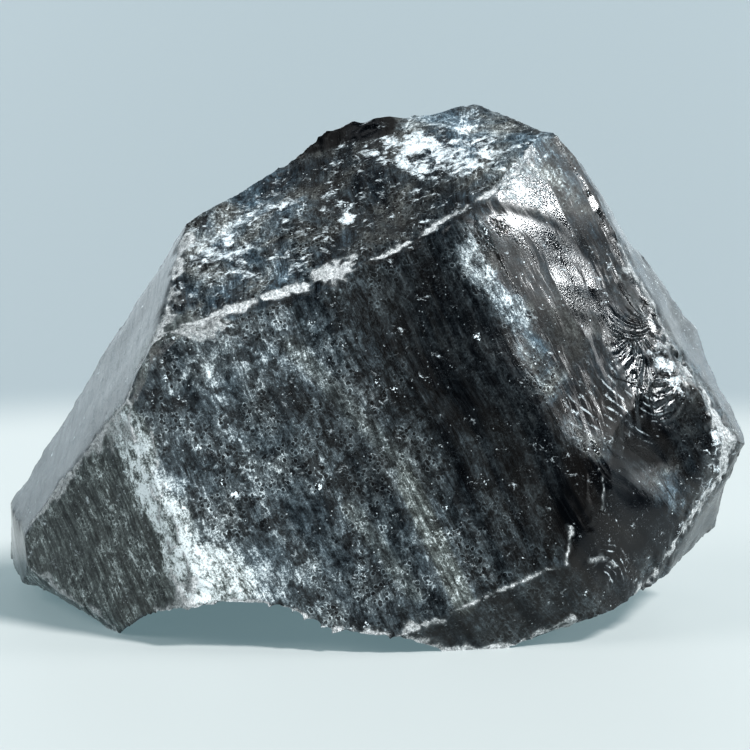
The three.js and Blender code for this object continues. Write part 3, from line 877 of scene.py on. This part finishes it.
class Value:
    """One output of a shader node.  Sums written on it add the nodes that work them out."""

    def __init__(self, sheet, socket):
        self.sheet = sheet
        self.socket = socket

    def __add__(self, other):
        return self.sheet.maths("ADD", self, other)

    def __sub__(self, other):
        return self.sheet.maths("SUBTRACT", self, other)

    def __rsub__(self, other):
        return self.sheet.maths("SUBTRACT", other, self)

    def __mul__(self, other):
        return self.sheet.maths("MULTIPLY", self, other)

    __radd__ = __add__
    __rmul__ = __mul__

    def least(self, other):
        """The smaller of the two."""
        return self.sheet.maths("MINIMUM", self, other)

    def most(self, other):
        """The larger of the two."""
        return self.sheet.maths("MAXIMUM", self, other)

    def wave(self):
        return self.sheet.maths("SINE", self)

    def rise(self, low, high):
        """0 below low, 1 above high and smooth between; falls instead where low is above high."""
        settings = {"interpolation_type": "SMOOTHSTEP"}
        rising = low < high
        values = {
            "Value": self, "From Min": min(low, high), "From Max": max(low, high),
            "To Min": 0.0 if rising else 1.0, "To Max": 1.0 if rising else 0.0,
        }
        return self.sheet.node("ShaderNodeMapRange", settings, values)


class Sheet:
    """The node sheet of one material or of the world."""

    def __init__(self, tree):
        self.tree = tree
        tree.nodes.clear()

    def node(self, kind, settings=None, values=None, out=0):
        """Adds a node: its settings first, then the values or links of its sockets."""
        node = self.tree.nodes.new(kind)
        for name, setting in (settings or {}).items():
            setattr(node, name, setting)
        for name, value in (values or {}).items():
            self.feed(node.inputs[name], value)
        return Value(self, node.outputs[out]) if len(node.outputs) else node

    def feed(self, socket, value):
        if isinstance(value, Value):
            self.tree.links.new(value.socket, socket)
        else:
            socket.default_value = value

    def maths(self, operation, *values):
        return self.node("ShaderNodeMath", {"operation": operation}, dict(enumerate(values)))

    def vector(self, operation, *values, out="Vector"):
        settings = {"operation": operation}
        return self.node("ShaderNodeVectorMath", settings, dict(enumerate(values)), out)

    def mix(self, share, first, second):
        """A colour between two colours.  Sockets 6 and 7 take them, and output 2 gives it."""
        values = {"Factor": share, 6: first, 7: second}
        return self.node("ShaderNodeMix", {"data_type": "RGBA"}, values, 2)

    def dot(self, place, direction):
        return self.vector("DOT_PRODUCT", place, tuple(direction), out="Value")

    def away(self, place, spot):
        return self.vector("DISTANCE", place, tuple(spot), out="Value")

    def joined(self, x, y, z):
        return self.node("ShaderNodeCombineXYZ", None, {"X": x, "Y": y, "Z": z})

    def scaled(self, place, scale):
        return self.node("ShaderNodeMapping", None, {"Vector": place, "Scale": scale})

    def stored(self, name):
        """What was kept for each vertex under this name."""
        return self.node("ShaderNodeAttribute", {"attribute_name": name}, None, "Fac")

    def cloud(self, place, size, detail, roughness=0.55, twist=0.0, out="Fac"):
        """Soft noise from 0 to 1, with lumps of this size."""
        values = {
            "Vector": place, "Scale": 1.0 / size, "Detail": detail,
            "Roughness": roughness, "Distortion": twist,
        }
        return self.node("ShaderNodeTexNoise", {"noise_dimensions": "3D"}, values, out)

    def stir(self, place, size, amount):
        """Places pushed about at random by up to about this amount."""
        push = self.cloud(place, size, 2.0, 0.5, 0.0, "Color")
        push = self.vector("MULTIPLY_ADD", push, (amount,) * 3, (-amount / 2,) * 3)
        return self.vector("ADD", place, push)

    def cells(self, place, size):
        """How far each place is from the nearest of many random spots, in their spacing."""
        values = {"Vector": place, "Scale": 1.0 / size}
        return self.node("ShaderNodeTexVoronoi", {"feature": "F1"}, values, "Distance")


def new_material(name):
    material = bpy.data.materials.new(name)
    material.use_nodes = True
    return material, Sheet(material.node_tree)


# ---- Obsidian ---------------------------------------------------------------


class Glass:
    """The obsidian's node sheet, with what all of its looks are worked out from.

    A pattern runs from 0 to 1 round a middle of 0.5.  In the sums that follow, rise() gives the
    levels between which a mark comes in, and the factors give how strongly it shows.
    """

    def __init__(self, sheet):
        self.sheet = sheet
        metres = sheet.node("ShaderNodeTexCoord", None, None, "Object")
        self.place = sheet.scaled(metres, (1 / MM,) * 3)
        for name in ("polish", "haze", "snow", "grain", "crushed", "film", "fan", "rib"):
            setattr(self, name, sheet.stored(name))
        self.bend = self.pattern("bend") - 0.5
        self.band = sheet.dot(self.place, BAND_NORMAL) + self.bend * BAND_WANDER
        self.along = sheet.dot(self.place, BAND_ALONG)
        self.across = sheet.dot(self.place, BAND_ACROSS)
        for name in ("wide_bands", "thin_bands", "hair_bands", "patches", "blots", "frost", "grit",
                     "crumbs"):
            setattr(self, name, self.pattern(name))
        self.stirred = sheet.stir(self.place, **STIRRED)
        self.jagged = sheet.stir(self.place, **JAGGED)

    def pattern(self, name, place=None):
        """One of the soft patterns, drawn out along the flow where it says so."""
        look = dict(PATTERNS[name])
        if "drawn" in look:
            along, across = look.pop("drawn")
            place = self.sheet.joined(self.band, self.along * along, self.across * across)
        return self.sheet.cloud(place or self.place, **look)


def fog_share(glass):
    """Uneven fog in the glass, thicker in patches and in streaks along the flow."""
    haze = glass.haze
    bands = (glass.thin_bands - 0.5) * 1.6
    uneven = (glass.patches - 0.5) * 1.7 + (glass.blots - 0.5) * 1.4 + bands
    swing = (haze * 1.5 + 0.1).least(1.0) * (haze.rise(1.6, 0.7) * 0.7 + 0.3)
    streaks = glass.wide_bands.rise(0.5, 0.6) * glass.hair_bands.rise(0.42, 0.6)
    return (haze + uneven * swing).most(0.0) + streaks * haze * 0.9


def veil_share(glass):
    """How thickly the glass is veiled: by speckled fog, the rims of bubbles and the grey film."""
    haze = glass.haze
    frost = glass.frost
    grit = glass.grit
    speckle = (frost.rise(0.34, 0.7) * 1.1 + 0.14) * (grit.rise(0.34, 0.68) * 0.9 + 0.5)
    blotches = (glass.blots.rise(0.58, 0.48) + haze.rise(0.9, 1.3)).least(1.0) * 0.75 + 0.25
    bubbles = glass.sheet.cells(glass.stirred, BUBBLE_GAP)
    bubbly = glass.patches.rise(0.43, 0.54) * haze.rise(0.02, 0.3) * haze.rise(1.0, 0.7)
    holes = bubbles.rise(0.42, 0.26) * bubbly
    rims = bubbles.rise(0.27, 0.36) * bubbles.rise(0.52, 0.4) * bubbly * frost.rise(0.42, 0.56)
    lines = glass.pattern("long_lines").rise(0.38, 0.62) * 0.8 + 0.24
    film = lines * (frost.rise(0.35, 0.65) * 0.9 + grit.rise(0.35, 0.65) * 0.6 + 0.25)
    fog = fog_share(glass) * speckle * blotches * (1.0 - holes * 0.7)
    return fog + rims * (haze * 0.4 + 0.16) + glass.film * film


def frost_share(glass):
    """White flakes where the skin is frosted, and on the fans partly painted glints."""
    place = glass.sheet.scaled(glass.stirred, FLAKE_SHAPE)
    flakes = glass.pattern("flakes", place) + (glass.blots - 0.5) * 0.5
    return (flakes + glass.snow * 0.28).rise(0.63, 0.81) * glass.grit.rise(0.28, 0.52)


def bruise_share(glass):
    """White crushed glass, broken up into crumbs."""
    return (glass.crushed * 0.62 + glass.crumbs * 1.15 + glass.grit * 0.25).rise(0.96, 1.4)


def speck_and_glint_share(glass):
    """Painted glints where the skin sparkles, small specks that are partly painted glints too,
    and larger flecks, scattered through the glass.
    """
    sheet = glass.sheet
    haze = glass.haze
    blots = glass.blots
    # The glints are white painted into the colour where the skin sparkles: a painted highlight.
    painted_glints = glass.pattern("painted_glints").rise(0.58, 0.8) * blots.rise(0.4, 0.6) * glass.grain * 0.6
    flecks = sheet.cells(glass.jagged, FLECK_GAP).rise(0.085, 0.05)
    flecks = flecks * blots.rise(0.44, 0.56) * haze.rise(0.1, 0.25)
    # The specks follow the skin's sparkle as well as its haze: partly white specks in the glass, partly
    # painted glints.
    common = (glass.grain * haze.rise(0.0, 0.2) + haze * 0.3).least(1.0)
    specks_and_glints = sheet.cells(glass.place, SPECK_GAP).rise(0.13, 0.06) * common * blots.rise(0.42, 0.55)
    return specks_and_glints + flecks + painted_glints


def crystal_share(glass):
    """The small white crystals, each with a ragged outline."""
    ragged = (glass.frost - 0.5) * CRYSTAL_JITTER + (glass.grit - 0.5) * CRYSTAL_FINE_JITTER
    share = 0.0
    for crystal in CRYSTALS:
        off = glass.sheet.away(glass.jagged, crystal["middle"]) + ragged
        share = off.rise(crystal["width"] * 0.55, crystal["width"] * 0.35) + share
    return share


def arc_share(glass):
    """The fine white arcs under the skin, broken here and there."""
    sheet = glass.sheet
    wander = glass.bend * ARC_LINE_WANDER + (glass.blots - 0.5) * ARC_LINE_JITTER
    share = 0.0
    for arc in WHITE_ARCS.values():
        travelled = sheet.away(glass.place, arc["struck"]) + wander
        line = (travelled * (2 * math.pi / arc["gap"])).wave().rise(0.55, 0.95)
        near = sheet.away(glass.place, arc["middle"]).rise(arc["reach"], arc["reach"] * 0.4)
        share = near * line * arc["white"] + share
    return share * glass.frost.rise(0.46, 0.58) * glass.blots.rise(0.42, 0.54)


def glass_colour(glass, veil, frost, bruise):
    """Dark banded glass under its veil, with the white marks, painted glints among them, and
    crushed edges over it.
    """
    sheet = glass.sheet
    body = sheet.mix(glass.wide_bands.rise(0.42, 0.58), GLASS_BLACK, GLASS_BROWN)
    sharpness = glass.grain.rise(0.4, 0.6) * (1.1 - glass.polish).rise(0.2, 0.4) * 4.0 + 1.2
    thin_veil = sheet.mix((glass.patches - 0.5) * sharpness + 0.5, VEIL_BLUE, VEIL_OLIVE)
    thin_veil = sheet.mix(glass.film.rise(0.05, 0.35), thin_veil, VEIL_FILM)
    colour = sheet.mix(veil.least(1.0), body, sheet.mix(veil.rise(0.5, 1.9), thin_veil, VEIL_WHITE))
    colour = sheet.mix(glass.crushed * 0.35, colour, EDGE_GREY)
    # The marks include painted glints: white in the colour standing in for the skin's sparkle.
    marks = speck_and_glint_share(glass) + crystal_share(glass) + frost + arc_share(glass)
    colour = sheet.mix(marks.least(1.0), colour, FROST_AND_GLINT_WHITE)
    return sheet.mix(bruise, colour, sheet.mix(glass.grit.rise(0.35, 0.6), BRUISE_GREY, BRUISE_WHITE))


def glass_roughness(glass, veil, white):
    """Clear where the face is polished, dull in bands and wherever it is veiled or white."""
    bands = (glass.wide_bands * 0.5 + glass.thin_bands * 0.5).rise(0.47, 0.53)
    dull = bands * (1.1 - glass.polish).rise(0.05, 0.3) * glass.grain.rise(0.45, 0.9)
    streaky = (glass.thin_bands - 0.5) * (1.2 - glass.polish)
    roughness = ROUGHNESS["plain"] + dull * ROUGHNESS["dull"] + glass.polish * ROUGHNESS["polish"]
    roughness = roughness + streaky * ROUGHNESS["bands"] + veil * ROUGHNESS["veil"]
    roughness = roughness + glass.fan * ROUGHNESS["fan"] + white * ROUGHNESS["white"]
    return roughness.least(ROUGHNESS_RANGE[1]).most(ROUGHNESS_RANGE[0])


def glass_relief(glass, veil, frost, bruise):
    """The height of the relief that is too fine for the mesh, in millimetres."""
    unpolished = (1.1 - glass.polish).rise(0.0, 0.1) * 0.75 + 0.25
    sparkle = glass.grain * RELIEF["sparkle"] + RELIEF["least_sparkle"]
    height = glass.pattern("sparkle") * sparkle * unpolished
    height = height + glass.hair_bands * (1.3 - glass.polish) * RELIEF["lines"]
    height = height + (glass.rib * (2 * math.pi)).wave() * glass.fan * RELIEF["ribs"]
    pits = veil.least(1.0) * RELIEF["veil"] + frost * RELIEF["frost"]
    return height + pits + bruise * glass.crumbs * RELIEF["crumbs"]


def obsidian():
    """Dark flow-banded glass with cloudy speckle, frosted patches and white bruises."""
    material, sheet = new_material("snowflake obsidian")
    glass = Glass(sheet)
    veil = veil_share(glass)
    frost = frost_share(glass)
    bruise = bruise_share(glass)
    height = glass_relief(glass, veil, frost, bruise)
    bump = {"Strength": 1.0, "Distance": MM, "Height": height}
    shader = sheet.node("ShaderNodeBsdfPrincipled", None, {
        "Base Color": glass_colour(glass, veil, frost, bruise),
        "Roughness": glass_roughness(glass, veil, bruise.most(frost)),
        "IOR": REFRACTION,
        "Normal": sheet.node("ShaderNodeBump", None, bump, "Normal"),
    })
    sheet.node("ShaderNodeOutputMaterial", None, {"Surface": shader})
    return material


# ---- Stage ------------------------------------------------------------------


def make_floor():
    """A wide pale table top, painted a little brighter round the chunk as a pool of light, and
    glowing faintly to lift its shadows, which is painted light too.
    """
    bpy.ops.object.select_all(action="DESELECT")
    bpy.ops.mesh.primitive_circle_add(vertices=96, radius=FLOOR_RADIUS, fill_type="NGON")
    floor = bpy.context.object
    floor.name = "floor"
    material, sheet = new_material("pale table")
    metres = sheet.node("ShaderNodeTexCoord", None, None, "Object")
    off = sheet.away(metres, (0.0, 0.0, 0.0))
    # Painted pool of light: lighter near the chunk, darker far away; the emission is a painted glow that
    # lifts the shadows.
    colour = sheet.mix(off.rise(*FLOOR_EDGE), FLOOR_NEAR_PAINTED_LIGHT, FLOOR_FAR)
    shader = sheet.node("ShaderNodeBsdfPrincipled", None, {
        "Base Color": colour, "Roughness": FLOOR_ROUGHNESS, "Specular IOR Level": FLOOR_SHINE,
        "Emission Color": FLOOR_SHADOW_LIFT_GLOW, "Emission Strength": 1.0,
    })
    sheet.node("ShaderNodeOutputMaterial", None, {"Surface": shader})
    floor.data.materials.append(material)


def make_room():
    """Pale walls low down behind the chunk, and darkness above and in front."""
    world = bpy.data.worlds.new("room")
    world.use_nodes = True
    bpy.context.scene.world = world
    sheet = Sheet(world.node_tree)
    direction = sheet.node("ShaderNodeTexCoord", None, None, "Generated")
    depth = sheet.dot(direction, (0.0, 1.0, 0.0))
    height = sheet.dot(direction, (0.0, 0.0, 1.0))
    light = depth.rise(*ROOM_DEPTHS) * height.rise(*ROOM_HEIGHTS)
    colour = sheet.mix(light, ROOM_DARK, ROOM_PALE)
    background = sheet.node("ShaderNodeBackground", None, {"Color": colour})
    sheet.node("ShaderNodeOutputWorld", None, {"Surface": background})


def add_lamp(name, heading, lean, width, strength):
    """A far round lamp that shines from a heading and a height."""
    lamp = bpy.data.lights.new(name, "SUN")
    lamp.angle = math.radians(width)
    lamp.energy = strength
    lamp.color = LAMP_TINT
    holder = bpy.data.objects.new(name, lamp)
    bpy.context.scene.collection.objects.link(holder)
    holder.rotation_euler = facing(heading, lean).to_track_quat("Z", "Y").to_euler()


def add_camera():
    """Looks at the chunk from the front and a little above."""
    camera = bpy.data.cameras.new("camera")
    camera.sensor_width = SENSOR
    camera.lens = LENS
    camera.clip_start = CAMERA_NEAR
    holder = bpy.data.objects.new("camera", camera)
    bpy.context.scene.collection.objects.link(holder)
    direction = facing(0, CAMERA_LEAN)
    holder.location = Vector(CAMERA_AIM) + direction * CAMERA_AWAY
    holder.rotation_euler = direction.to_track_quat("Z", "Y").to_euler()
    bpy.context.scene.camera = holder


chunk = make_chunk()
chunk.data.materials.clear()
chunk.data.materials.append(obsidian())
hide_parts("stone")
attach(chunk, "root")

make_floor()
make_room()
for name, lamp in LAMPS.items():
    add_lamp(name, **lamp)
add_camera()
bpy.context.scene.view_settings.view_transform = "Standard"
bpy.context.scene.view_settings.look = "High Contrast"
